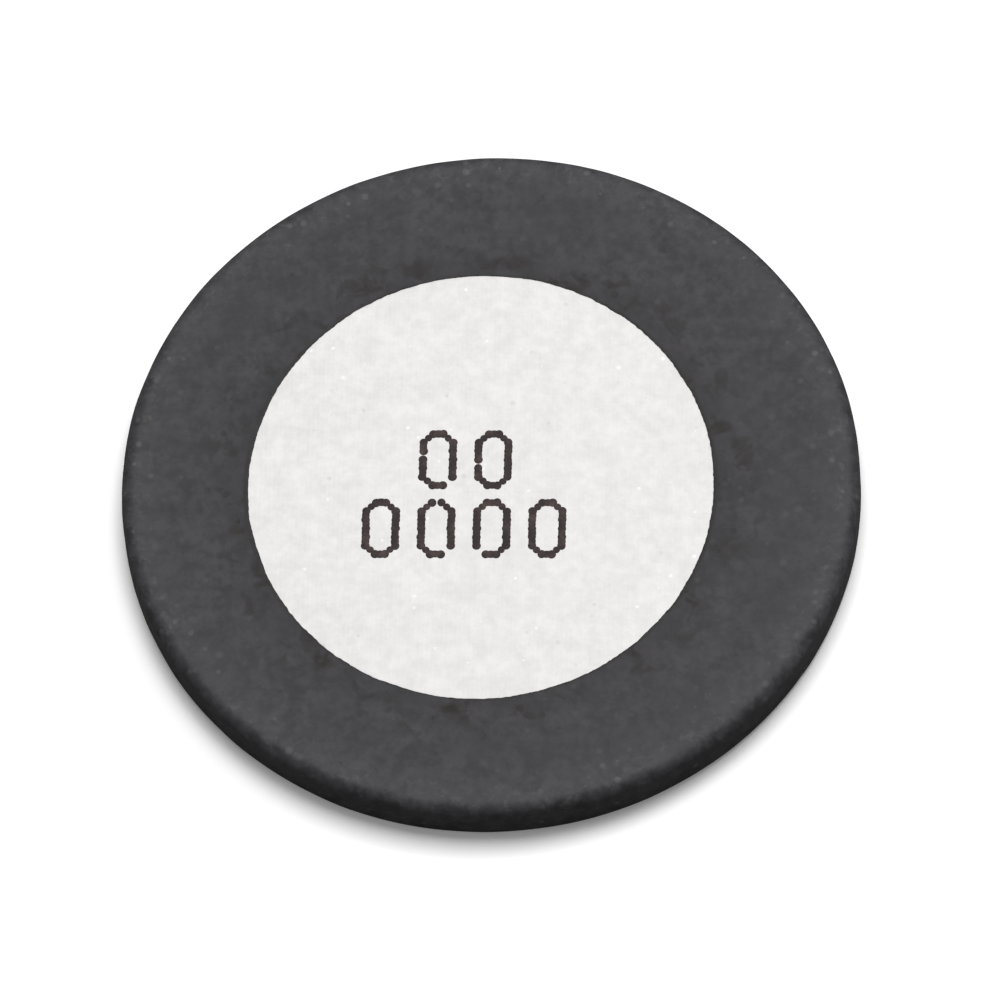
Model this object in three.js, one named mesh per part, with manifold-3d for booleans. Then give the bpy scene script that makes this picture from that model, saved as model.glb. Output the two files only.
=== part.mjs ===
// A piezoelectric vibration disc of the kind used in ultrasonic mist makers: a thin ceramic coin
// that is driven through two silver electrodes and is sealed in black enamel.
//
// Units are millimetres and +Z is up. The part lies on its working face: the origin is the centre
// of that face's resting plane, and the back, with its round silver contact, looks up.
import * as THREE from "three";
import { mergeVertices } from "three/addons/utils/BufferGeometryUtils.js";
import Module from "manifold-3d";

const wasm = await Module();
wasm.setup();

// ---- driving dimensions ------------------------------------------------------------------
const overallDiameter = 20.0; // over the enamel
const ceramicThickness = 1.25; // half a wavelength, so it sets the resonance near 1.7 MHz
const ceramicEdgeRadius = 0.3; // left by tumbling before the electrodes are printed

const silverThickness = 0.03; // fired silver paste, the same on both faces
const backElectrodeDiameter = 12.7;
const backElectrodeOffset = new THREE.Vector2(-0.25, -0.2); // how far the print lies off centre
const frontBareMargin = 0.44; // flat ceramic left bare round the front electrode, for the enamel
const frontContactWidth = 1.6; // ring of front electrode that the glaze leaves bare

const enamelOnRim = 0.06;
const enamelOnBack = 0.05;
const enamelOnFront = 0.09; // thicker than the silver, so it stands proud as a resting lip

const inkThickness = 0.01;
const inkStroke = 0.24; // one ink dot wide
const inkColumnPitch = 0.27;
const inkRowPitch = 0.26;
const glyphColumns = 4;
const glyphRows = 7;
const glyphPitch = 1.5;
const lineGap = 0.28; // clear space between the two printed lines
const glyphsInLine = [2, 4]; // the upper line, then the lower one
const printCentre = new THREE.Vector2(-0.68, -0.45);

const roundSegments = 144;
const edgeSegments = 5;

// ---- sizes that follow -------------------------------------------------------------------
const overallRadius = overallDiameter / 2;
const ceramicRadius = overallRadius - enamelOnRim;
const outerEdgeRadius = ceramicEdgeRadius + Math.min(enamelOnRim, enamelOnBack);
const ceramicBottom = enamelOnFront;
const ceramicTop = ceramicBottom + ceramicThickness;
const overallTop = ceramicTop + enamelOnBack;
const silverTop = ceramicTop + silverThickness;
const silverBottom = ceramicBottom - silverThickness;
const frontElectrodeRadius = ceramicRadius - ceramicEdgeRadius - frontBareMargin;
const glazeRadius = frontElectrodeRadius - frontContactWidth;

const glyphWidth = (glyphColumns - 1) * inkColumnPitch;
const glyphHeight = (glyphRows - 1) * inkRowPitch;
const lineStep = glyphHeight + inkStroke + lineGap;

// ---- materials ---------------------------------------------------------------------------
const ceramicMaterial = new THREE.MeshStandardMaterial({ color: 0x8d8468, roughness: 0.85, metalness: 0 });
const silverMaterial = new THREE.MeshStandardMaterial({ color: 0xe4e2e0, roughness: 0.5, metalness: 0.6 });
const enamelMaterial = new THREE.MeshStandardMaterial({ color: 0x29292b, roughness: 0.6, metalness: 0 });
const glazeMaterial = new THREE.MeshStandardMaterial({ color: 0x39424a, roughness: 0.12, metalness: 0 });
const inkMaterial = new THREE.MeshStandardMaterial({ color: 0x33292a, roughness: 0.7, metalness: 0 });

// ---- helpers -----------------------------------------------------------------------------
// A closed three.js geometry as a manifold-3d solid.
function solidOf(geometry) {
  const bare = geometry.clone();
  bare.deleteAttribute("normal");
  bare.deleteAttribute("uv");
  const merged = mergeVertices(bare, 1e-4);
  return new wasm.Manifold(
    new wasm.Mesh({
      numProp: 3,
      vertProperties: merged.attributes.position.array,
      triVerts: new Uint32Array(merged.index.array),
    }),
  );
}

// A manifold-3d solid back as a three.js geometry.
function geometryOf(solid) {
  const mesh = solid.getMesh();
  const geometry = new THREE.BufferGeometry();
  geometry.setAttribute("position", new THREE.BufferAttribute(mesh.vertProperties, 3));
  geometry.setIndex(new THREE.BufferAttribute(mesh.triVerts, 1));
  geometry.computeVertexNormals();
  return geometry;
}

function mesh(name, geometry, material) {
  const made = new THREE.Mesh(geometry, material);
  made.name = name;
  return made;
}

// Points of a quarter round about (r, z), from one angle to another, for a lathe profile.
function quarterRound(r, z, radius, fromDegrees, toDegrees) {
  return Array.from({ length: edgeSegments + 1 }, (_, i) => {
    const angle = THREE.MathUtils.degToRad(
      THREE.MathUtils.lerp(fromDegrees, toDegrees, i / edgeSegments),
    );
    return new THREE.Vector2(r + radius * Math.cos(angle), z + radius * Math.sin(angle));
  });
}

// The outer half of a round-edged disc's section, from its bottom face's edge to its top face's.
function discEdge(radius, bottom, top, edgeRadius) {
  const r = radius - edgeRadius;
  return [
    ...quarterRound(r, bottom + edgeRadius, edgeRadius, -90, 0),
    ...quarterRound(r, top - edgeRadius, edgeRadius, 0, 90),
  ];
}

// A flat round plate, as a lathe that starts and ends on the axis.
function plate(radius, bottom, top) {
  const profile = [
    new THREE.Vector2(0, bottom),
    new THREE.Vector2(radius, bottom),
    new THREE.Vector2(radius, top),
    new THREE.Vector2(0, top),
  ];
  return lathe(profile);
}

// LatheGeometry turns about +Y, so the result is stood up to turn about +Z.
function lathe(profile) {
  return new THREE.LatheGeometry(profile, roundSegments).rotateX(Math.PI / 2);
}

// ---- pieces ------------------------------------------------------------------------------
function ceramicDisc() {
  const profile = [
    new THREE.Vector2(0, ceramicBottom),
    ...discEdge(ceramicRadius, ceramicBottom, ceramicTop, ceramicEdgeRadius),
    new THREE.Vector2(0, ceramicTop),
  ];
  return lathe(profile);
}

function backElectrode() {
  const { x, y } = backElectrodeOffset;
  return plate(backElectrodeDiameter / 2, ceramicTop, silverTop).translate(x, y, 0);
}

function frontElectrode() {
  return plate(frontElectrodeRadius, silverBottom, ceramicBottom);
}

function frontGlaze() {
  return plate(glazeRadius, 0, silverBottom);
}

// One skin of enamel over the back, the rim and the edge of the front. Its section is a C that
// fits the ceramic's edge and stops at the front electrode, and a window opens it over the silver.
function blackEnamel() {
  const profile = [
    new THREE.Vector2(frontElectrodeRadius, 0),
    ...discEdge(overallRadius, 0, overallTop, outerEdgeRadius),
    new THREE.Vector2(0, overallTop),
    new THREE.Vector2(0, ceramicTop),
    ...discEdge(ceramicRadius, ceramicBottom, ceramicTop, ceramicEdgeRadius).reverse(),
    new THREE.Vector2(frontElectrodeRadius, ceramicBottom),
    new THREE.Vector2(frontElectrodeRadius, 0),
  ];
  const { x, y } = backElectrodeOffset;
  const window = plate(backElectrodeDiameter / 2, ceramicTop - enamelOnBack, overallTop + enamelOnBack);
  return geometryOf(solidOf(lathe(profile)).subtract(solidOf(window.translate(x, y, 0))));
}

// The corners of a rectangle about (x, y) whose own corners are cut off at 45 degrees.
function cutRectangle(x, y, halfWidth, halfHeight, cut) {
  return [
    [halfWidth - cut, -halfHeight],
    [halfWidth, -halfHeight + cut],
    [halfWidth, halfHeight - cut],
    [halfWidth - cut, halfHeight],
    [-halfWidth + cut, halfHeight],
    [-halfWidth, halfHeight - cut],
    [-halfWidth, -halfHeight + cut],
    [-halfWidth + cut, -halfHeight],
  ].map(([dx, dy]) => new THREE.Vector2(x + dx, y + dy));
}

// A blank lot digit: a nought with cut corners, as a dot-matrix coder prints it on the silver.
// The stroke keeps one width, so the outer and inner outlines are cut by different amounts.
function blankDigit(x, y) {
  const halfStroke = inkStroke / 2;
  const halfWidth = glyphWidth / 2;
  const halfHeight = glyphHeight / 2;
  const cutChange = halfStroke * (2 - Math.SQRT2);
  const outline = (grow) =>
    cutRectangle(
      x,
      y,
      halfWidth + grow * halfStroke,
      halfHeight + grow * halfStroke,
      inkColumnPitch + grow * cutChange,
    );
  const shape = new THREE.Shape(outline(1));
  shape.holes.push(new THREE.Path(outline(-1)));
  const options = { depth: inkThickness, bevelEnabled: false };
  return new THREE.ExtrudeGeometry(shape, options).translate(0, 0, silverTop);
}

// ---- assembly ----------------------------------------------------------------------------
const disc = new THREE.Group();
disc.add(
  mesh("ceramic_disc", ceramicDisc(), ceramicMaterial),
  mesh("back_electrode", backElectrode(), silverMaterial),
  mesh("front_electrode", frontElectrode(), silverMaterial),
  mesh("front_glaze", frontGlaze(), glazeMaterial),
  mesh("black_enamel", blackEnamel(), enamelMaterial),
);

// The printed lines are centred on one another, and every character is its own deposit of ink.
glyphsInLine.forEach((count, line) => {
  const y = printCentre.y + lineStep * ((glyphsInLine.length - 1) / 2 - line);
  for (let i = 0; i < count; i += 1) {
    const x = printCentre.x + (i - (count - 1) / 2) * glyphPitch;
    disc.add(mesh(`lot_digit_${line + 1}_${i + 1}`, blankDigit(x, y), inkMaterial));
  }
});

export default disc;
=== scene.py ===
# %% [markdown]
# # A piezoelectric vibration disc
#
# The object is a thin ceramic coin, 20 mm across, of the kind that turns water to mist. Silver is
# fired onto both of its faces, black enamel seals the back and the rim, and a coder has printed a
# lot code on the silver. It has no moving parts. All of its character is in its surfaces, so that
# is where this lesson spends its time: on how a layer ends, and on what each layer is like up
# close.

import math
import random

import bmesh
import bpy
from mathutils import Matrix, Vector


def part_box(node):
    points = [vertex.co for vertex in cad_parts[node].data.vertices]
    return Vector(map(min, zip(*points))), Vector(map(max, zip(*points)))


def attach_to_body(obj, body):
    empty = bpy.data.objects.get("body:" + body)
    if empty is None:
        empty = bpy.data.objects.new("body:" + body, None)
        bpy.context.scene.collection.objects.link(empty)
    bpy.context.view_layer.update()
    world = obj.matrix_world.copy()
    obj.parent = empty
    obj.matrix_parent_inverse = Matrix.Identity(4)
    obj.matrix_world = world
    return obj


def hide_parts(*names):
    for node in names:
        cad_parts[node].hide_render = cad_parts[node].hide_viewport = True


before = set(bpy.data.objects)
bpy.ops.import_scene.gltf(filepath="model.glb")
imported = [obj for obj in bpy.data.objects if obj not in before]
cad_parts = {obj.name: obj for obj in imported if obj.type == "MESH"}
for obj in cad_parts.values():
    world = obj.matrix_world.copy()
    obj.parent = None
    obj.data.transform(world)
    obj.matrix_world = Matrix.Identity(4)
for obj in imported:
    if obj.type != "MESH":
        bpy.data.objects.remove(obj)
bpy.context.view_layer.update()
MM = 0.001
print("nodes:", ", ".join(sorted(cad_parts)))

# %% [markdown]
# ## Sizes
#
# The sizes in the next cell are read from the solids, so the fine pieces land exactly where the
# plain ones are. Blender works in metres here, and a disc this small is easier to think about in
# millimetres, so `MM` turns one into the other.

# %% Read the layers' sizes
skin_low, skin_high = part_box("black_enamel")
ceramic_low, ceramic_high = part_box("ceramic_disc")
silver_low, silver_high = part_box("back_electrode")
front_low, front_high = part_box("front_electrode")
glaze_low, glaze_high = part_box("front_glaze")

disc_radius = (skin_high.x - skin_low.x) / 2
disc_top = skin_high.z
ceramic_radius = (ceramic_high.x - ceramic_low.x) / 2
window_radius = (silver_high.x - silver_low.x) / 2
window_centre = (silver_low + silver_high) / 2
front_radius = (front_high.x - front_low.x) / 2
glaze_radius = (glaze_high.x - glaze_low.x) / 2

print("disc %.2f mm across and %.2f mm thick" % (disc_radius * 2 / MM, disc_top / MM))
print("window %.2f mm across, off centre by %.2f, %.2f mm" % (
    window_radius * 2 / MM, window_centre.x / MM, window_centre.y / MM))

# %% [markdown]
# ## Modelling helpers
#
# An operator acts on whatever is selected, so a helper that clears the selection comes first. The
# second one picks points in edit mode by where they are, which does in code what a box select
# does by hand.

# %% Selection helpers
def start_clean():
    bpy.ops.object.select_all(action="DESELECT")


def pick(test):
    """In edit mode, selects the points that pass a test on their place, and says how many."""
    mesh = bmesh.from_edit_mesh(bpy.context.object.data)
    for vert in mesh.verts:
        vert.select_set(bool(test(vert.co)))
    mesh.select_flush(True)
    mesh.select_flush(False)
    bmesh.update_edit_mesh(bpy.context.object.data)
    return sum(vert.select for vert in mesh.verts)


def near(co, radius, height, reach=0.002 * MM):
    """True for a point of an outline that lies at this radius and height."""
    return abs(co.x - radius) < reach and abs(co.z - height) < reach


# %% [markdown]
# Every layer of the disc is round, so each is drawn as the outline of its section and turned
# about the axis. The outline starts as a plane merged to one point, which is then extruded from
# corner to corner, as a person would click it out. Corners are rounded while it is still a flat
# outline, where a bevel costs nothing, and long edges are cut where a surface will need points
# for its bumps.

# %% Draw an outline and turn it
def draw_section(name, corners, closed=True):
    start_clean()
    radius, height = corners[0]
    bpy.ops.mesh.primitive_plane_add(size=0.1 * MM, location=(0, 0, 0))
    bpy.context.object.name = name
    bpy.context.object.data.name = name
    bpy.ops.object.mode_set(mode="EDIT")
    bpy.ops.mesh.select_mode(type="VERT")
    bpy.ops.mesh.select_all(action="SELECT")
    bpy.ops.mesh.merge(type="CENTER")
    bpy.ops.transform.translate(value=(radius, 0, height))
    for next_radius, next_height in corners[1:] + (corners[:1] if closed else []):
        step = (next_radius - radius, 0, next_height - height)
        bpy.ops.mesh.extrude_region_move(TRANSFORM_OT_translate={"value": step})
        radius, height = next_radius, next_height
    bpy.ops.mesh.select_all(action="SELECT")
    bpy.ops.mesh.remove_doubles(threshold=0.0005 * MM)
    return bpy.context.object


def round_corner(radius, height, size, segments):
    picked = pick(lambda co: near(co, radius, height))
    bpy.ops.mesh.bevel(offset=size, segments=segments, affect="VERTICES", clamp_overlap=True)
    print("  rounded %d corner by %.3f mm" % (picked, size / MM))


def cut_edge(lowest, highest, cuts):
    """Cuts the outline's edges whose ends both lie between two corners of a box."""
    reach = 0.002 * MM
    pick(lambda co: lowest[0] - reach < co.x < highest[0] + reach
         and lowest[1] - reach < co.z < highest[1] + reach)
    bpy.ops.mesh.subdivide(number_cuts=cuts)


def turn_section(steps):
    bpy.ops.mesh.select_all(action="SELECT")
    bpy.ops.mesh.spin(steps=steps, angle=math.tau, center=(0, 0, 0), axis=(0, 0, 1))
    bpy.ops.mesh.select_all(action="SELECT")
    bpy.ops.mesh.remove_doubles(threshold=0.0005 * MM)
    bpy.ops.mesh.normals_make_consistent(inside=False)


def finish_piece(piece, smooth_angle=40):
    """Leaves edit mode, shades the piece, and checks that it is one closed surface."""
    if bpy.context.object.mode == "EDIT":
        bpy.ops.object.mode_set(mode="OBJECT")
    start_clean()
    piece.select_set(True)
    bpy.context.view_layer.objects.active = piece
    bpy.ops.object.shade_smooth_by_angle(angle=math.radians(smooth_angle))
    check = bmesh.new()
    check.from_mesh(piece.data)
    open_edges = sum(not edge.is_manifold for edge in check.edges)
    volume = check.calc_volume(signed=True) / MM ** 3
    check.free()
    print("%s: %d faces, %d open edges, %.3f cubic mm" % (
        piece.name, len(piece.data.polygons), open_edges, volume))


# %% [markdown]
# ## Roughening a surface for real
#
# A bump in a material can't change an outline, and these layers are known by their edges: a torn
# line of print, a rim that a tumbler has worn. So the larger bumps are real. Each is a Displace
# modifier driven by one of Blender's procedural textures, held to one part of the piece by a
# vertex group, and applied as soon as it is set.

# %% Displace helper
def weigh(piece, name, weight_at):
    """Makes a vertex group whose weights come from each point's place."""
    group = piece.vertex_groups.new(name=name)
    used = 0
    for vert in piece.data.vertices:
        weight = weight_at(vert.co)
        if weight > 0.001:
            group.add([vert.index], weight, "REPLACE")
            used += 1
    print("  %s: %d points" % (name, used))
    return group.name


def ramp(value, start, end):
    """0 at start, 1 at end, smooth between; start may be the larger."""
    share = min(1.0, max(0.0, (value - start) / (end - start)))
    return share * share * (3 - 2 * share)


def displace(piece, texture, group, strength, direction="NORMAL", mid_level=0.5):
    start_clean()
    piece.select_set(True)
    bpy.context.view_layer.objects.active = piece
    modifier = piece.modifiers.new(texture.name, "DISPLACE")
    modifier.texture = texture
    modifier.texture_coords = "LOCAL"
    modifier.vertex_group = group
    modifier.strength = strength
    modifier.direction = direction
    modifier.mid_level = mid_level
    bpy.ops.object.modifier_apply(modifier=modifier.name)


def cloud_texture(name, size, depth=2, colour=False):
    texture = bpy.data.textures.new(name, "CLOUDS")
    texture.noise_scale = size
    texture.noise_depth = depth
    texture.cloud_type = "COLOR" if colour else "GRAYSCALE"
    return texture


def pit_texture(name, spacing, share):
    """White only near the middle of each cell: a field of round pits, `share` of a cell wide."""
    texture = bpy.data.textures.new(name, "VORONOI")
    texture.noise_scale = spacing
    texture.use_color_ramp = True
    texture.color_ramp.elements[0].position = 0.0
    texture.color_ramp.elements[0].color = (1, 1, 1, 1)
    texture.color_ramp.elements[1].position = share
    texture.color_ramp.elements[1].color = (0, 0, 0, 1)
    return texture


# %% [markdown]
# ## The black enamel
#
# On the real disc the enamel is brushed or printed on and fired, so it is one continuous skin:
# over the back, round the rim and just onto the front. It laps a little way over the edge of the
# silver that was fired before it, and droops slightly towards the rim, where it ran as it melted.
# The section below is that skin seen cut through, a thin C with a rebate for the silver. A
# modeller could also thicken a single surface, but then the lap and the lip on the front would
# have the wrong thickness.

# %% Draw the skin's section
LAP = 0.08 * MM           # of enamel over the silver's edge
EDGE = 0.36 * MM          # rounding of the shoulder
EDGE_BELOW = 0.25 * MM    # rounding of the edge that it stands on
CERAMIC_EDGE = 0.3 * MM   # rounding of the ceramic inside
CROWN = 0.80 * MM         # how far in from the rim the droop starts
DROOP = 0.035 * MM
CROWN_EASE = 0.35 * MM    # softens the line where the droop starts
PRINT_EDGE = 0.012 * MM
LIP_EDGE = 0.03 * MM
skin_corners = [
    (window_radius, disc_top),
    (disc_radius - CROWN, disc_top),
    (disc_radius, disc_top - DROOP),
    (disc_radius, 0.0),
    (front_radius, 0.0),
    (front_radius, ceramic_low.z),
    (ceramic_radius, ceramic_low.z),
    (ceramic_radius, ceramic_high.z),
    (window_radius + LAP, ceramic_high.z),
    (window_radius + LAP, silver_high.z),
    (window_radius, silver_high.z),
]
enamel = draw_section("enamel_skin", skin_corners)
round_corner(disc_radius, disc_top - DROOP, EDGE, 8)
round_corner(disc_radius - CROWN, disc_top, CROWN_EASE, 6)
round_corner(disc_radius, 0.0, EDGE_BELOW, 5)
round_corner(ceramic_radius, ceramic_low.z, CERAMIC_EDGE, 5)
round_corner(ceramic_radius, ceramic_high.z, CERAMIC_EDGE, 5)
round_corner(window_radius, disc_top, PRINT_EDGE, 2)
round_corner(front_radius, 0.0, LIP_EDGE, 2)

# %% [markdown]
# The back needs the most points, because it is the face that is looked at. A cut every 0.09 mm
# gives even the smallest pit a point or two of its own. The rim and the lip need fewer, and the
# inside none. A turn of 720 steps keeps the points round the rim as close as those across it.

# %% Cut it and turn it
BACK_CUTS, RIM_CUTS, LIP_CUTS = 30, 6, 5
SKIN_STEPS = 720
cut_edge((window_radius, disc_top), (disc_radius - CROWN - 0.3 * MM, disc_top), BACK_CUTS)
cut_edge((disc_radius, EDGE_BELOW), (disc_radius, disc_top - DROOP - EDGE), RIM_CUTS)
cut_edge((front_radius + 0.02 * MM, 0.0), (disc_radius - EDGE_BELOW, 0.0), LIP_CUTS)
turn_section(SKIN_STEPS)

# %% [markdown]
# The print lies a third of a millimetre off the disc's centre. Moving the window's edge with
# proportional editing carries the enamel round it along, less and less towards the rim, so no
# face gets creased. A screen also stretches under the squeegee, so the window is nearly two
# hundredths longer one way than the other.

# %% Shift the window off centre
SCREEN_STRETCH = (0.991, 1.008, 1)
moved = pick(lambda co: math.hypot(co.x, co.y) < window_radius + LAP * 1.2)
bpy.ops.transform.translate(
    value=(window_centre.x, window_centre.y, 0), use_proportional_edit=True,
    proportional_edit_falloff="SMOOTH", proportional_size=3.0 * MM)
bpy.ops.transform.resize(
    value=SCREEN_STRETCH, center_override=window_centre, use_proportional_edit=True,
    proportional_edit_falloff="SMOOTH", proportional_size=1.5 * MM)
finish_piece(enamel)
print("moved", moved, "points")

# %% [markdown]
# Four things have happened to a real skin of enamel. It pooled and shrank as it fired, so it
# isn't quite flat. Gas left round pits, most of them against the silver, where it is thinnest.
# The printed line tore on the mesh of the screen. And the coins were tumbled together, which left
# the rim a little uneven. The waves fade out before the shoulder, so that its line stays clean.

# %% Weigh the parts of the skin
def from_axis(co):
    return math.hypot(co.x, co.y)


def from_window(co):
    return math.hypot(co.x - window_centre.x, co.y - window_centre.y) - window_radius


def on_back(co):
    """1 on the skin's upper face, 0 below it, so the inside keeps its fit to the ceramic."""
    if from_axis(co) > disc_radius - CROWN:
        return ramp(co.z, disc_top - 0.06 * MM, disc_top - 0.03 * MM)
    return float(co.z > disc_top - 0.006 * MM)


flat_edge = disc_radius - EDGE
back = weigh(enamel, "back", lambda co: on_back(co) * ramp(from_window(co), 0.0, 0.3 * MM)
             * ramp(from_axis(co), flat_edge, flat_edge - 0.5 * MM))
near_silver = weigh(enamel, "near_silver", lambda co: on_back(co)
                    * ramp(from_window(co), 0.06 * MM, 0.16 * MM)
                    * (0.3 + 0.7 * ramp(from_window(co), 1.5 * MM, 0.3 * MM)))
torn_edge = weigh(enamel, "torn_edge", lambda co: ramp(from_window(co), 0.10 * MM, 0.02 * MM)
                  * (1.0 if co.z > silver_high.z - 0.001 * MM else 0.0))
rim = weigh(enamel, "rim", lambda co: ramp(
    from_axis(co), disc_radius - 0.04 * MM - EDGE / 3, disc_radius - 0.01 * MM))

# %% Push the surface about
displace(enamel, cloud_texture("slow_wave", 2.4 * MM), back, 0.012 * MM)
displace(enamel, cloud_texture("fired_skin", 0.35 * MM, depth=4), back, 0.007 * MM)
for name, spacing, share, depth in (("gas_pits", 0.42, 0.30, 0.022),
                                    ("wide_pits", 1.1, 0.22, 0.018)):
    displace(enamel, pit_texture(name, spacing * MM, share), near_silver, -depth * MM,
             mid_level=0.0)
for name, size, strength in (("screen_tear", 0.13, 0.038), ("screen_drag", 0.7, 0.045)):
    displace(enamel, cloud_texture(name, size * MM, depth=1, colour=True), torn_edge,
             strength * MM, "RGB_TO_XYZ")
displace(enamel, cloud_texture("tumbled_rim", 1.9 * MM), rim, 0.035 * MM)
finish_piece(enamel)

# %% [markdown]
# ## The silver
#
# Silver paste is pressed through a mesh and fired at about 700 degrees, which leaves a matte,
# almost white metal with the faint weave of the mesh in it. The visible circle is turned like the
# skin, with its edge running a little way under the lap. It is drawn from the axis outwards, and
# the two ends of its outline close up at the poles.

# %% Turn the back contact
def turn_layer(name, radius, low, high, edge, cuts, steps, centre=None):
    """A flat round layer with rounded edges. cuts says how finely its upper and lower face go."""
    layer = draw_section(name, [(0.0, low), (radius, low), (radius, high), (0.0, high)], False)
    round_corner(radius, high, edge, 3)
    round_corner(radius, low, edge, 2)
    cut_edge((0.0, high), (radius - edge, high), cuts[0])
    cut_edge((0.0, low), (radius - edge, low), cuts[1])
    turn_section(steps)
    if centre is not None:
        bpy.ops.mesh.select_all(action="SELECT")
        bpy.ops.transform.translate(value=(centre.x, centre.y, 0))
    finish_piece(layer)
    return layer


SILVER_EDGE = 0.01 * MM
FIT_GAP = 0.01 * MM      # keeps the front silver's wall off the enamel's
contact = turn_layer("silver_contact", window_radius + LAP * 0.8, silver_low.z, silver_high.z,
                     SILVER_EDGE, cuts=(64, 8), steps=360, centre=window_centre)

# %% Give it the unevenness of a print
contact_top = weigh(contact, "contact_top", lambda co: (1.0 if co.z > silver_high.z - 0.002 * MM
                    else 0.0) * ramp(from_window(co), -0.01 * MM, -0.25 * MM))
displace(contact, cloud_texture("paste_flow", 0.9 * MM, 3), contact_top, 0.004 * MM)
finish_piece(contact)

# %% [markdown]
# ## The working face
#
# The other side lies on the water. A second silver layer covers nearly all of it, glass glaze
# seals the middle, and the ring of silver between the glaze and the enamel lip is where the
# holder presses. Glaze draws itself up at its edge as it melts, so its corner is rounder than the
# silver's.

# %% Turn the two layers of the working face
GLAZE_EDGE = 0.025 * MM
front_silver = turn_layer("front_silver", front_radius - FIT_GAP, front_low.z, front_high.z,
                          SILVER_EDGE, cuts=(2, 30), steps=288)
glaze = turn_layer("working_glaze", glaze_radius, glaze_low.z, glaze_high.z,
                   GLAZE_EDGE, cuts=(2, 30), steps=288)

# %% [markdown]
# Molten glass never freezes quite flat, and a slow wave in it is what makes its reflection
# wander. The silver round it has a finer and shallower one. Both lower faces were cut finely for
# this, and they are only ever pushed inwards, because the disc stands on them.

# %% Ripple the glass
for layer, face, size, depth in ((glaze, glaze_low.z, 2.2, 0.009),
                                 (front_silver, front_low.z, 0.8, 0.004)):
    lower_face = weigh(layer, "lower_face", lambda co: float(co.z < face + 0.001 * MM))
    displace(layer, cloud_texture("wave_" + layer.name, size * MM, 2), lower_face, depth * MM,
             mid_level=1.0)
    finish_piece(layer)

# %% [markdown]
# ## The printed lot code
#
# A coder throws drops of ink at the passing disc, seven to a column. Each drop lands as a thin
# pancake, and neighbours flow into one stroke, with a neck or a gap left here and there. So one
# drop is modelled, and each nought is built from copies of it, no two quite the same size or in
# quite the right place. Copies stretched along the stroke stand for ink that has run from a drop
# to the next, and smaller ones bridge the corners. A boolean with itself then melts them all into
# one deposit.

# %% Model one drop
INK_HEIGHT = 0.011 * MM
DROP_RADIUS = 0.122 * MM
start_clean()
bpy.ops.mesh.primitive_cylinder_add(vertices=20, radius=DROP_RADIUS, depth=INK_HEIGHT,
                                    location=(0, 0, 0))
drop = bpy.context.object
drop.name = "ink_drop"
bpy.ops.object.mode_set(mode="EDIT")
bpy.ops.mesh.select_mode(type="VERT")
pick(lambda co: co.z > 0)
bpy.ops.mesh.bevel(offset=INK_HEIGHT * 0.7, segments=2, affect="EDGES")
finish_piece(drop, 60)

# %% Lay out a nought
DROPS_ACROSS = 4
DROPS_UP = 7
nought = [(column, row) for column in range(DROPS_ACROSS) for row in range(DROPS_UP)
          if (column in (0, DROPS_ACROSS - 1)) != (row in (0, DROPS_UP - 1))]
WHOLE, ACROSS, UP, CORNER = (1.0, 1.0), (1.55, 0.90), (0.90, 1.55), (0.84, 0.84)
JOINS = {(1, 0): ACROSS, (0, 1): UP, (1, 1): CORNER, (1, -1): CORNER}
marks = [(column, row, WHOLE) for column, row in nought]
marks += [((a[0] + b[0]) / 2, (a[1] + b[1]) / 2, JOINS[b[0] - a[0], b[1] - a[1]])
          for a in nought for b in nought if (b[0] - a[0], b[1] - a[1]) in JOINS]
print("a nought has", len(nought), "drops and", len(marks) - len(nought), "joins")

# %% Throw one drop
SCATTER = 0.005          # mm, how far a drop strays from its place
JOINS_KEPT = 0.90        # the rest are the gaps in the print
chance = random.Random(11)


def throw_drop(place, shape, height):
    copy = drop.copy()
    copy.data = drop.data.copy()
    bpy.context.collection.objects.link(copy)
    copy.location = (place[0] + chance.gauss(0, SCATTER) * MM,
                     place[1] + chance.gauss(0, SCATTER) * MM, height)
    copy.scale = (shape[0] * chance.uniform(0.92, 1.02), shape[1] * chance.uniform(0.95, 1.05), 1)
    return copy


# %% Print the characters
def print_character(node):
    low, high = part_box(node)
    middle = (low + high) / 2
    across = (high.x - low.x - DROP_RADIUS * 2) / (DROPS_ACROSS - 1)
    up = (high.y - low.y - DROP_RADIUS * 2) / (DROPS_UP - 1)
    copies = []
    for column, row, shape in marks:
        place = (middle.x + (column - (DROPS_ACROSS - 1) / 2) * across,
                 middle.y + (row - (DROPS_UP - 1) / 2) * up)
        height = silver_high.z + INK_HEIGHT / 2 + chance.uniform(0, 0.0012) * MM
        if shape == WHOLE or chance.random() < JOINS_KEPT:
            copies.append(throw_drop(place, shape, height))
    start_clean()
    for copy in copies:
        copy.select_set(True)
    bpy.context.view_layer.objects.active = copies[0]
    bpy.ops.object.join()
    mark = bpy.context.object
    mark.name = "ink_" + node
    mark.data.name = mark.name
    bpy.ops.object.transform_apply(location=True, rotation=True, scale=True)
    return mark


# %% Melt each character into one deposit
SAME_PLACE = 1e-9        # metres


def melt_together(mark):
    start_clean()
    mark.select_set(True)
    bpy.context.view_layer.objects.active = mark
    before = len(mark.data.polygons)
    bpy.ops.object.mode_set(mode="EDIT")
    bpy.ops.mesh.select_all(action="SELECT")
    bpy.ops.mesh.intersect_boolean(operation="UNION", use_self=True, solver="EXACT",
                                   threshold=SAME_PLACE)
    bpy.ops.mesh.select_all(action="SELECT")
    bpy.ops.mesh.remove_doubles(threshold=SAME_PLACE)
    finish_piece(mark, 60)
    print("  melted %d faces into %d" % (before, len(mark.data.polygons)))


ink_nodes = sorted(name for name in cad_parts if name.startswith("lot_digit"))
ink_marks = {}
for node in ink_nodes:
    ink_marks[node] = print_character(node)
    melt_together(ink_marks[node])
bpy.data.objects.remove(drop)

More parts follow.
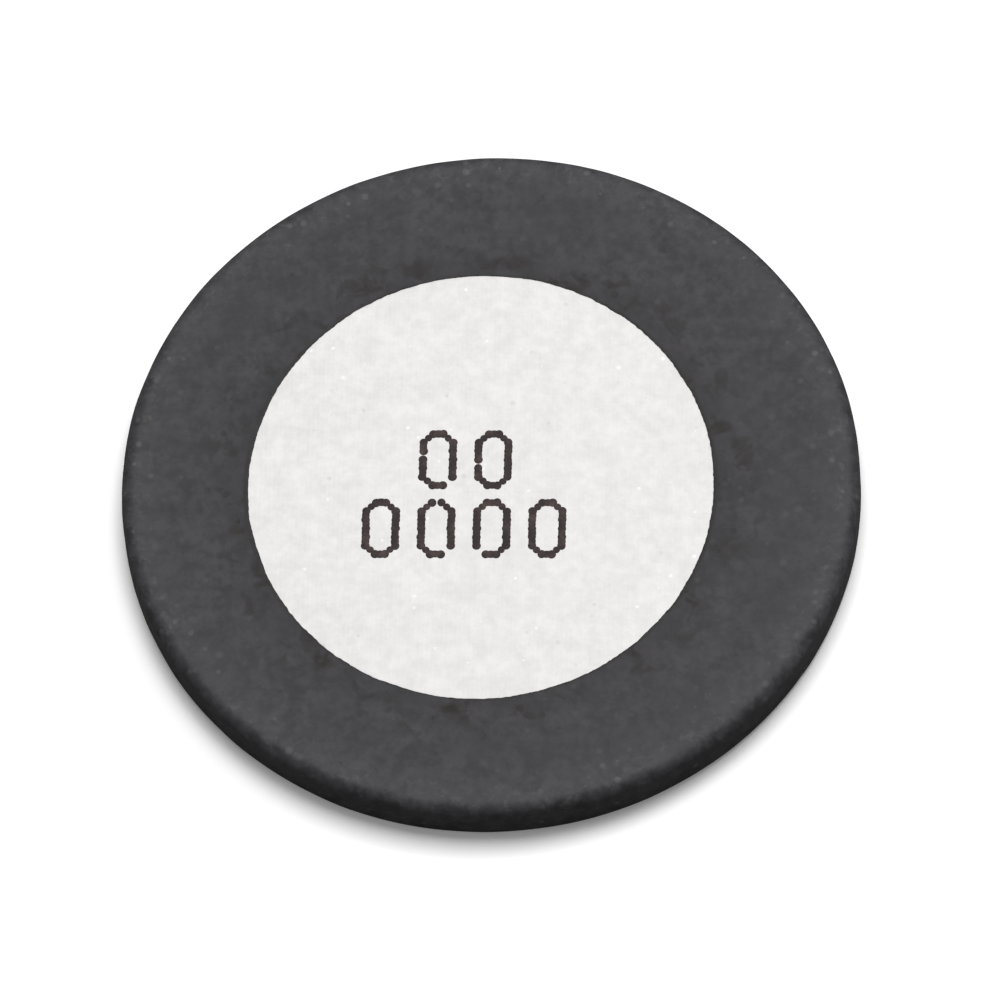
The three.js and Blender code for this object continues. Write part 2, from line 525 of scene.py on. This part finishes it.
# %% [markdown]
# ## Node helpers
#
# A material is a small program of nodes. These helpers keep each material's cell short enough to
# read. `start_group` makes a shader node group with named sockets, `start_material` opens a new
# material, and `add` adds a node and sets or joins its inputs. The others are short forms for
# what the materials do most: a sum, a stretch of values, a place in millimetres, a blend of two
# colours, and the use of a group.

# %% Node helpers
def start_group(name, inputs, outputs):
    tree = bpy.data.node_groups.new(name, "ShaderNodeTree")
    for label, kind, value in inputs:
        socket = tree.interface.new_socket(label, in_out="INPUT", socket_type="NodeSocket" + kind)
        socket.default_value = value
    for label, kind in outputs:
        tree.interface.new_socket(label, in_out="OUTPUT", socket_type="NodeSocket" + kind)
    return tree, tree.nodes.new("NodeGroupInput"), tree.nodes.new("NodeGroupOutput")


def add(tree, kind, settings=None, **inputs):
    """Adds a node. An input is a number, a colour, or the output that it is joined to."""
    node = tree.nodes.new("ShaderNode" + kind)
    for key, value in (settings or {}).items():
        setattr(node, key, value)
    for key, value in inputs.items():
        socket = node.inputs[int(key[1:])] if key[1:].isdigit() else node.inputs[
            key.replace("_", " ")]
        if isinstance(value, bpy.types.NodeSocket):
            tree.links.new(value, socket)
        else:
            socket.default_value = value
    return node


def maths(tree, operation, first, second=0.0, third=0.0, clamp=False):
    node = add(tree, "Math", {"operation": operation, "use_clamp": clamp},
               i0=first, i1=second, i2=third)
    return node.outputs[0]


def stretch(tree, value, low, high, to_low=0.0, to_high=1.0, way="LINEAR"):
    """Turns low to high into 0 to 1, or into to_low to to_high, and holds what lies outside."""
    node = add(tree, "MapRange", {"interpolation_type": way}, Value=value,
               i1=low, i2=high, i3=to_low, i4=to_high)
    return node.outputs[0]


def place_in_mm(tree, shift=None):
    """A point's place on the object in millimetres, moved on by a shift if there is one."""
    place = add(tree, "TexCoord").outputs["Object"]
    in_mm = add(tree, "VectorMath", {"operation": "SCALE"}, i0=place, Scale=1 / MM).outputs[0]
    if shift is None:
        return in_mm
    return add(tree, "VectorMath", {"operation": "ADD"}, i0=in_mm, i1=shift).outputs[0]


def blend_colour(tree, share, first, second, way="MIX"):
    node = add(tree, "Mix", {"data_type": "RGBA", "blend_type": way},
               i0=share, i6=first, i7=second)
    return node.outputs[2]


def use_group(tree, group, **inputs):
    node = tree.nodes.new("ShaderNodeGroup")
    node.node_tree = group
    for key, value in inputs.items():
        socket = node.inputs[key.replace("_", " ")]
        if isinstance(value, bpy.types.NodeSocket):
            tree.links.new(value, socket)
        else:
            socket.default_value = value
    return node


def start_material(name):
    material = bpy.data.materials.new(name)
    material.use_nodes = True
    tree = material.node_tree
    shader = tree.nodes["Principled BSDF"]
    return material, tree, shader


# %% [markdown]
# ## Effects that the layers share
#
# Everything here was fired, so everything has a grain: the enamel, the silver, the ceramic and
# even the glass. `fired_grain` reads the object's own coordinates, turns metres into millimetres
# so that its sizes can be given as a maker would say them, and lays a fine noise over a broad
# one.

# %% Group: the grain of a fired surface
fired_grain, given, made = start_group(
    "fired_grain",
    [("Fine Size", "Float", 0.05), ("Broad Size", "Float", 0.8), ("Broad Share", "Float", 0.5)],
    [("Tone", "Float"), ("Height", "Float")])
in_mm = place_in_mm(fired_grain)
fine = add(fired_grain, "TexNoise", Vector=in_mm, Detail=4.0, Roughness=0.6,
           Scale=maths(fired_grain, "DIVIDE", 1.0, given.outputs["Fine Size"])).outputs["Fac"]
broad = add(fired_grain, "TexNoise", Vector=in_mm, Detail=3.0, Roughness=0.55,
            Scale=maths(fired_grain, "DIVIDE", 1.0, given.outputs["Broad Size"])).outputs["Fac"]
mixed = add(fired_grain, "Mix", {"data_type": "FLOAT"}, i0=given.outputs["Broad Share"],
            i2=fine, i3=broad).outputs[0]
fired_grain.links.new(mixed, made.inputs["Tone"])
fired_grain.links.new(fine, made.inputs["Height"])
print("fired_grain:", len(fired_grain.nodes), "nodes")

# %% [markdown]
# Dust on the enamel, beads in the silver painted bright as glints, and dark specks in both
# (painted shade in the enamel's pits, grey burnt specks in the silver) are the same thing to look
# at: small round spots, scattered with gaps. A Voronoi texture gives every cell a middle and a
# random colour.
# The distance from the middle makes the spot, and the colour decides which cells have one and how
# big it is.

# %% Group: scattered specks
specks, given, made = start_group(
    "scattered_specks",
    [("Spacing", "Float", 0.3), ("Spot Size", "Float", 0.05), ("Share", "Float", 0.3),
     ("Shift", "Float", 0.0)],
    [("Mask", "Float"), ("Strength", "Float")])
cells = add(specks, "TexVoronoi", Vector=place_in_mm(specks, given.outputs["Shift"]),
            Scale=maths(specks, "DIVIDE", 1.0, given.outputs["Spacing"]))
lot = add(specks, "SeparateColor", Color=cells.outputs["Color"])
chosen = maths(specks, "LESS_THAN", lot.outputs[0], given.outputs["Share"])
reach = maths(specks, "DIVIDE", given.outputs["Spot Size"], given.outputs["Spacing"])
reach = maths(specks, "MULTIPLY", reach, maths(specks, "MULTIPLY_ADD", lot.outputs[1], 0.8, 0.4))
spot = stretch(specks, cells.outputs["Distance"], reach, maths(specks, "MULTIPLY", reach, 0.4),
               way="SMOOTHSTEP")
mask = maths(specks, "MULTIPLY", spot, chosen)
specks.links.new(mask, made.inputs["Mask"])
specks.links.new(maths(specks, "MULTIPLY", mask, lot.outputs[2]), made.inputs["Strength"])
print("scattered_specks:", len(specks.nodes), "nodes")

# %% [markdown]
# Stains aren't round. They are patches with soft, wandering edges, which is what is left of a
# noise when only its highest parts are kept.

# %% Group: soft patches
soft_patches, given, made = start_group(
    "soft_patches",
    [("Size", "Float", 0.5), ("Start", "Float", 0.55), ("End", "Float", 0.7),
     ("Shift", "Float", 0.0)],
    [("Mask", "Float")])
cloud = add(soft_patches, "TexNoise", Vector=place_in_mm(soft_patches, given.outputs["Shift"]),
            Detail=3.0, Roughness=0.55, Distortion=0.4,
            Scale=maths(soft_patches, "DIVIDE", 1.0, given.outputs["Size"]))
patch = stretch(soft_patches, cloud.outputs["Fac"], given.outputs["Start"], given.outputs["End"],
                way="SMOOTHSTEP")
soft_patches.links.new(patch, made.inputs["Mask"])
print("soft_patches:", len(soft_patches.nodes), "nodes")

# %% [markdown]
# Much of what happens to a round part happens at a certain distance from its middle: dirt and a
# line of painted shade keep to the window's edge, and wear and a painted highlight to the rim.
# `ring_band` measures that distance, in millimetres from a centre of its own, and rises smoothly
# from one radius to another.

# %% Group: a band at a distance from the axis
ring_band, given, made = start_group(
    "ring_band",
    [("Centre X", "Float", 0.0), ("Centre Y", "Float", 0.0), ("From", "Float", 0.0),
     ("To", "Float", 1.0)],
    [("Mask", "Float")])
parts = add(ring_band, "SeparateXYZ", Vector=place_in_mm(ring_band))
east = maths(ring_band, "SUBTRACT", parts.outputs["X"], given.outputs["Centre X"])
north = maths(ring_band, "SUBTRACT", parts.outputs["Y"], given.outputs["Centre Y"])
squares = maths(ring_band, "ADD", maths(ring_band, "MULTIPLY", east, east),
                maths(ring_band, "MULTIPLY", north, north))
rise = stretch(ring_band, maths(ring_band, "SQRT", squares), given.outputs["From"],
               given.outputs["To"], way="SMOOTHSTEP")
ring_band.links.new(rise, made.inputs["Mask"])
print("ring_band:", len(ring_band.nodes), "nodes")

# %% [markdown]
# ## Black enamel, as a material
#
# The enamel is a soft black, a little blue, with a satin skin. Four things keep it from being
# flat: a mottle of slightly different blacks; dark brownish patches, and pits with painted shade
# in them, where it is thin beside the silver; a darkening towards the window, ending in a thin
# line of painted shade along the step where it laps the silver; and a pale haze near the rim,
# partly dust and rubbing and partly a painted highlight along the shoulder. The darkening towards
# the window multiplies, so the mottle still shows through it. The grain goes into the bump and
# the roughness too, so light breaks up on it.

# %% Choose the enamel's effects
enamel_black, tree, shader = start_material("black_enamel")
grain = use_group(tree, fired_grain, Fine_Size=0.27, Broad_Size=0.62, Broad_Share=0.5)
window = {"Centre_X": window_centre.x / MM, "Centre_Y": window_centre.y / MM}
by_window = use_group(tree, ring_band, **window, From=window_radius / MM + 1.9,
                      To=window_radius / MM + 0.1)
thin_edge = use_group(tree, ring_band, **window, From=window_radius / MM + 1.20,
                      To=window_radius / MM)
# painted shade: a thin dark line along the step where the enamel laps the silver
lap_painted_shade = use_group(tree, ring_band, **window, From=window_radius / MM + 0.13,
                     To=window_radius / MM + 0.01)
by_rim = use_group(tree, ring_band, From=8.6, To=9.6)
stains = use_group(tree, soft_patches, Size=0.62, Start=0.50, End=0.70, Shift=3.1)
clouds = use_group(tree, soft_patches, Size=1.9, Start=0.35, End=0.70, Shift=11.0)
pits = use_group(tree, specks, Spacing=0.42, Spot_Size=0.14, Share=0.22, Shift=7.7)
dust = use_group(tree, specks, Spacing=0.40, Spot_Size=0.13, Share=0.36, Shift=1.3)
haze = use_group(tree, soft_patches, Size=0.22, Start=0.50, End=0.80, Shift=21.0)
print("effects on the enamel:", len(tree.nodes) - 2)

# %% Mix its colour
DEEP_BLACK, SOFT_BLACK = (0.0145, 0.0130, 0.0160, 1), (0.0485, 0.0465, 0.0512, 1)
# BROWN_STAIN is a real stain; the second colour on this line is painted shade for the pits
BROWN_STAIN, PIT_PAINTED_SHADE = (0.010, 0.007, 0.005, 1), (0.008, 0.006, 0.006, 1)
# the first grey is partly dust and partly a painted highlight near the rim; the second is dust
HAZE_AND_HIGHLIGHT_GREY, DUST_GREY = (0.16, 0.16, 0.16, 1), (0.20, 0.20, 0.205, 1)
tone = stretch(tree, grain.outputs["Tone"], 0.40, 0.60)
colour = blend_colour(tree, tone, DEEP_BLACK, SOFT_BLACK)
colour = blend_colour(tree, maths(tree, "MULTIPLY", clouds.outputs["Mask"], 0.35), colour,
                      (0.030, 0.030, 0.034, 1))
stained = maths(tree, "MULTIPLY", stains.outputs["Mask"], maths(
    tree, "MULTIPLY_ADD", by_window.outputs["Mask"], 0.85, 0.12))
colour = blend_colour(tree, stained, colour, BROWN_STAIN)
# painted shade: the pits are darkened as if in shade, more of them near the window
pit_shade_share = maths(tree, "MULTIPLY", pits.outputs["Strength"], maths(
    tree, "MULTIPLY_ADD", by_window.outputs["Mask"], 0.80, 0.20))
colour = blend_colour(tree, pit_shade_share, colour, PIT_PAINTED_SHADE)
colour = blend_colour(tree, thin_edge.outputs["Mask"], colour, (0.76, 0.73, 0.73, 1),
                      "MULTIPLY")
# painted shade along the lap, mixed in at 70 per cent
colour = blend_colour(tree, maths(tree, "MULTIPLY", lap_painted_shade.outputs["Mask"], 0.70), colour,
                      (0.009, 0.008, 0.009, 1))
# paler band near the rim: partly dust and rubbing, partly a painted highlight along the shoulder
haze_and_highlight = maths(tree, "MULTIPLY", by_rim.outputs["Mask"], maths(
    tree, "MULTIPLY_ADD", haze.outputs["Mask"], 0.20, 0.06))
colour = blend_colour(tree, haze_and_highlight, colour, HAZE_AND_HIGHLIGHT_GREY)
dusty = maths(tree, "MULTIPLY", dust.outputs["Strength"], maths(
    tree, "MULTIPLY_ADD", by_rim.outputs["Mask"], 0.22, 0.08))
colour = blend_colour(tree, dusty, colour, DUST_GREY)
tree.links.new(colour, shader.inputs["Base Color"])
print("black_enamel:", len(tree.nodes), "nodes")

# %% Give the enamel its sheen and its relief
rough = stretch(tree, grain.outputs["Tone"], 0.3, 0.7, to_low=0.58, to_high=0.72)
tree.links.new(rough, shader.inputs["Roughness"])
relief = maths(tree, "SUBTRACT", grain.outputs["Height"], maths(
    tree, "MULTIPLY", pits.outputs["Mask"], 0.8))
relief = maths(tree, "ADD", relief, maths(tree, "MULTIPLY", dust.outputs["Mask"], 0.4))
bump = add(tree, "Bump", Strength=0.6, Distance=0.014 * MM, Height=relief)
tree.links.new(bump.outputs["Normal"], shader.inputs["Normal"])
shader.inputs["Specular IOR Level"].default_value = 0.35
print("the sheen is satin, and rougher where the enamel is pale")

# %% [markdown]
# ## Fired silver, as a material
#
# Fired silver isn't a mirror: it is a sponge of tiny beads of metal, nearly white, with roughness
# past halfway. Up close it shows the weave of the print screen, which two wave textures at right
# angles press into the bump. Some beads are smoother than the rest and are painted paler as
# glints, and here and there a speck has burnt grey.

# %% Group: the weave of a print screen
screen_weave, given, made = start_group(
    "screen_weave", [("Thread Pitch", "Float", 0.12)], [("Height", "Float")])
in_mm = place_in_mm(screen_weave)
per_mm = maths(screen_weave, "DIVIDE", 0.3142, given.outputs["Thread Pitch"])
threads = [add(screen_weave, "TexWave", {"bands_direction": way}, Vector=in_mm, Scale=per_mm,
               Distortion=1.2, Detail=1.0).outputs["Fac"] for way in ("X", "Y")]
screen_weave.links.new(maths(screen_weave, "MULTIPLY", threads[0], threads[1]),
                       made.inputs["Height"])
print("screen_weave:", len(screen_weave.nodes), "nodes")


# %% Build the silver
def build_silver(name, bright, dull):
    silver, tree, shader = start_material(name)
    grain = use_group(tree, fired_grain, Fine_Size=0.27, Broad_Size=0.6, Broad_Share=0.5)
    glint_flakes = use_group(tree, specks, Spacing=0.30, Spot_Size=0.07, Share=0.16, Shift=2.9)
    burnt = use_group(tree, specks, Spacing=0.45, Spot_Size=0.10, Share=0.22, Shift=5.3)
    weave = use_group(tree, screen_weave, Thread_Pitch=0.125)
    tone = stretch(tree, grain.outputs["Tone"], 0.38, 0.62)
    colour = blend_colour(tree, tone, dull, bright)
    colour = blend_colour(tree, maths(tree, "MULTIPLY", burnt.outputs["Strength"], 0.35), colour,
                          (0.42, 0.41, 0.40, 1))
    # painted glints: some beads are painted paler; they are also smoother and raised in the bump
    colour = blend_colour(tree, maths(tree, "MULTIPLY", glint_flakes.outputs["Strength"], 0.6), colour,
                          (0.80, 0.80, 0.80, 1))
    tree.links.new(colour, shader.inputs["Base Color"])
    rough = maths(tree, "MULTIPLY_ADD", tone, 0.08, 0.62)
    rough = maths(tree, "SUBTRACT", rough, maths(
        tree, "MULTIPLY", glint_flakes.outputs["Mask"], 0.06), clamp=True)
    tree.links.new(rough, shader.inputs["Roughness"])
    relief = maths(tree, "MULTIPLY_ADD", weave.outputs["Height"], 0.35, grain.outputs["Height"])
    relief = maths(tree, "MULTIPLY_ADD", glint_flakes.outputs["Mask"], 0.3, relief)
    bump = add(tree, "Bump", Strength=0.5, Distance=0.007 * MM, Height=relief)
    tree.links.new(bump.outputs["Normal"], shader.inputs["Normal"])
    shader.inputs["Metallic"].default_value = 0.4
    print(name + ":", len(tree.nodes), "nodes")
    return silver


fired_silver = build_silver("fired_silver", (0.728, 0.719, 0.713, 1), (0.573, 0.565, 0.560, 1))

# %% [markdown]
# ## Ink, glass and ceramic
#
# Coder ink dries to a brownish black that is thin enough in places for the silver to show. The
# glaze is dark glass, smooth enough for clear reflections. The ceramic is inside and is seen only
# if a layer is taken off, but a part should hold up then too: it is a dry, sandy brown.

# %% Build the ink
ink_black, tree, shader = start_material("coder_ink")
grain = use_group(tree, fired_grain, Fine_Size=0.06, Broad_Size=0.33, Broad_Share=0.65)
thin = stretch(tree, grain.outputs["Tone"], 0.46, 0.70)
colour = blend_colour(tree, thin, (0.020, 0.011, 0.011, 1), (0.085, 0.062, 0.057, 1))
tree.links.new(colour, shader.inputs["Base Color"])
tree.links.new(maths(tree, "MULTIPLY_ADD", thin, 0.15, 0.66),
               shader.inputs["Roughness"])
bump = add(tree, "Bump", Strength=0.4, Distance=0.004 * MM, Height=grain.outputs["Height"])
tree.links.new(bump.outputs["Normal"], shader.inputs["Normal"])
shader.inputs["Specular IOR Level"].default_value = 0.3
print("coder_ink:", len(tree.nodes), "nodes")

# %% Build the glaze
glass_dark, tree, shader = start_material("dark_glaze")
grain = use_group(tree, fired_grain, Fine_Size=0.5, Broad_Size=2.5, Broad_Share=0.7)
bubbles = use_group(tree, specks, Spacing=0.7, Spot_Size=0.09, Share=0.3, Shift=9.1)
tone = stretch(tree, grain.outputs["Tone"], 0.35, 0.65)
colour = blend_colour(tree, tone, (0.018, 0.023, 0.028, 1), (0.032, 0.040, 0.046, 1))
colour = blend_colour(tree, maths(tree, "MULTIPLY", bubbles.outputs["Strength"], 0.5), colour,
                      (0.12, 0.13, 0.13, 1))
tree.links.new(colour, shader.inputs["Base Color"])
tree.links.new(maths(tree, "MULTIPLY_ADD", tone, 0.06, 0.10),
               shader.inputs["Roughness"])
relief = maths(tree, "MULTIPLY_ADD", bubbles.outputs["Mask"], 0.3, grain.outputs["Height"])
bump = add(tree, "Bump", Strength=0.5, Distance=0.012 * MM, Height=relief)
tree.links.new(bump.outputs["Normal"], shader.inputs["Normal"])
print("dark_glaze:", len(tree.nodes), "nodes")

# %% Build the ceramic
fired_ceramic, tree, shader = start_material("fired_ceramic")
grain = use_group(tree, fired_grain, Fine_Size=0.04, Broad_Size=1.2, Broad_Share=0.4)
pores = use_group(tree, specks, Spacing=0.22, Spot_Size=0.05, Share=0.35, Shift=4.2)
tone = stretch(tree, grain.outputs["Tone"], 0.3, 0.7)
colour = blend_colour(tree, tone, (0.22, 0.18, 0.11, 1), (0.33, 0.28, 0.18, 1))
# painted shade: the pores are darkened as if in shade
colour = blend_colour(tree, maths(tree, "MULTIPLY", pores.outputs["Mask"], 0.7), colour,
                      (0.09, 0.07, 0.04, 1))
tree.links.new(colour, shader.inputs["Base Color"])
shader.inputs["Roughness"].default_value = 0.8
bump = add(tree, "Bump", Strength=0.5, Distance=0.01 * MM, Height=maths(
    tree, "SUBTRACT", grain.outputs["Height"], pores.outputs["Mask"]))
tree.links.new(bump.outputs["Normal"], shader.inputs["Normal"])
print("fired_ceramic:", len(tree.nodes), "nodes")

# %% [markdown]
# ## Put the pieces on the frame
#
# Each fine piece takes the place of its plain solid and rides on the part's one body. The ceramic
# keeps its own solid, because its shape is already right, and only changes its material.

# %% Attach the pieces
def attach(piece, node, material):
    piece.data.materials.clear()
    piece.data.materials.append(material)
    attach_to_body(piece, "root")
    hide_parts(node)
    print("%s stands for %s" % (piece.name, node))


attach(enamel, "black_enamel", enamel_black)
attach(contact, "back_electrode", fired_silver)
attach(front_silver, "front_electrode", fired_silver)
attach(glaze, "front_glaze", glass_dark)
for node, mark in ink_marks.items():
    attach(mark, node, ink_black)
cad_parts["ceramic_disc"].material_slots[0].material = fired_ceramic

# %% [markdown]
# ## The floor, the light and the camera
#
# The disc lies on a plain white sweep in a light tent. Most of the light comes from above and
# behind, which is why its shadow is a thin soft line along the near edge and its near wall is
# almost black. A smaller panel, lower on the right, draws the bright line along the shoulder of
# the rim, and the pale surroundings fill in the rest.
#
# A sweep like this is overexposed on purpose, so that it comes out pure white. Here the camera
# sees a brighter floor than the disc does: with the same bright floor for both, the light thrown
# up from it would wash out the dark rim.

# %% Lay the floor
start_clean()
bpy.ops.mesh.primitive_plane_add(size=0.8, location=(0, 0, 0))
floor = bpy.context.object
floor.name = "white_sweep"
sweep_white, tree, seen = start_material("sweep_white")
seen.inputs["Base Color"].default_value = (0.94, 0.94, 0.94, 1)
seen.inputs["Roughness"].default_value = 0.9
seen.inputs["Specular IOR Level"].default_value = 0.1
seen.inputs["Emission Color"].default_value = (1, 1, 1, 1)
seen.inputs["Emission Strength"].default_value = 0.13
thrown = add(tree, "BsdfDiffuse", Color=(0.22, 0.22, 0.22, 1))
chooser = add(tree, "MixShader", i0=add(tree, "LightPath").outputs["Is Camera Ray"],
              i1=thrown.outputs[0], i2=seen.outputs[0])
tree.links.new(chooser.outputs[0], tree.nodes["Material Output"].inputs["Surface"])
floor.data.materials.append(sweep_white)
print("floor", floor.dimensions.x, "m wide")

# %% Light the tent
world = bpy.data.worlds.new("light_tent")
bpy.context.scene.world = world
world.use_nodes = True
world.node_tree.nodes["Background"].inputs["Color"].default_value = (1.0, 1.0, 1.0, 1)
world.node_tree.nodes["Background"].inputs["Strength"].default_value = 0.21


def hang_panel(name, azimuth, elevation, distance, side, power):
    """A square light that looks at the disc. Azimuth 0 is behind it, 90 to its right."""
    lamp = bpy.data.lights.new(name, "AREA")
    lamp.shape = "SQUARE"
    lamp.size = side
    lamp.energy = power
    panel = bpy.data.objects.new(name, lamp)
    bpy.context.collection.objects.link(panel)
    turn, rise = math.radians(azimuth), math.radians(elevation)
    away = Vector((math.sin(turn) * math.cos(rise), math.cos(turn) * math.cos(rise),
                   math.sin(rise)))
    panel.location = away * distance
    panel.rotation_euler = away.to_track_quat("Z", "Y").to_euler()
    print("%s: %.2f W" % (name, power))


hang_panel("back_panel", azimuth=8, elevation=72, distance=0.30, side=0.17, power=0.80)
hang_panel("right_panel", azimuth=48, elevation=46, distance=0.30, side=0.12, power=0.14)

# %% [markdown]
# The camera looks down steeply through a long lens, so the disc's circle stays nearly a true
# ellipse. It is turned a few degrees about its own axis, as a hand-held camera is. Its near clip
# comes in too, so that it can be moved up close to a part this small.

# %% Set up the camera
AZIMUTH = math.radians(6.0)
ELEVATION = math.radians(63.1)
ROLL = math.radians(5.33)
DISTANCE = 0.36
FIELD = 27.05 * MM       # width of what is seen, at the disc
SENSOR = 36
looking = Vector((-math.sin(AZIMUTH) * math.cos(ELEVATION),
                  math.cos(AZIMUTH) * math.cos(ELEVATION), -math.sin(ELEVATION)))
level = Vector((math.cos(AZIMUTH), math.sin(AZIMUTH), 0))
upward = level.cross(looking)
across = level * math.cos(ROLL) - upward * math.sin(ROLL)
upright = level * math.sin(ROLL) + upward * math.cos(ROLL)
RIGHT_OF_DISC, BELOW_DISC = 0.279 * MM, 0.586 * MM
aim = Vector((0, 0, disc_top)) + across * RIGHT_OF_DISC - upright * BELOW_DISC

camera = bpy.data.objects.new("camera", bpy.data.cameras.new("camera"))
bpy.context.collection.objects.link(camera)
camera.data.sensor_width = SENSOR
camera.data.lens = SENSOR * DISTANCE / FIELD
camera.data.clip_start = 0.01
camera.data.clip_end = 10
turned = Matrix((across, upright, -looking)).transposed().to_4x4()
camera.matrix_world = Matrix.Translation(aim - looking * DISTANCE) @ turned
bpy.context.scene.camera = camera
bpy.context.scene.view_settings.view_transform = "Standard"
print("camera at", tuple(round(value / MM, 1) for value in camera.location), "mm")
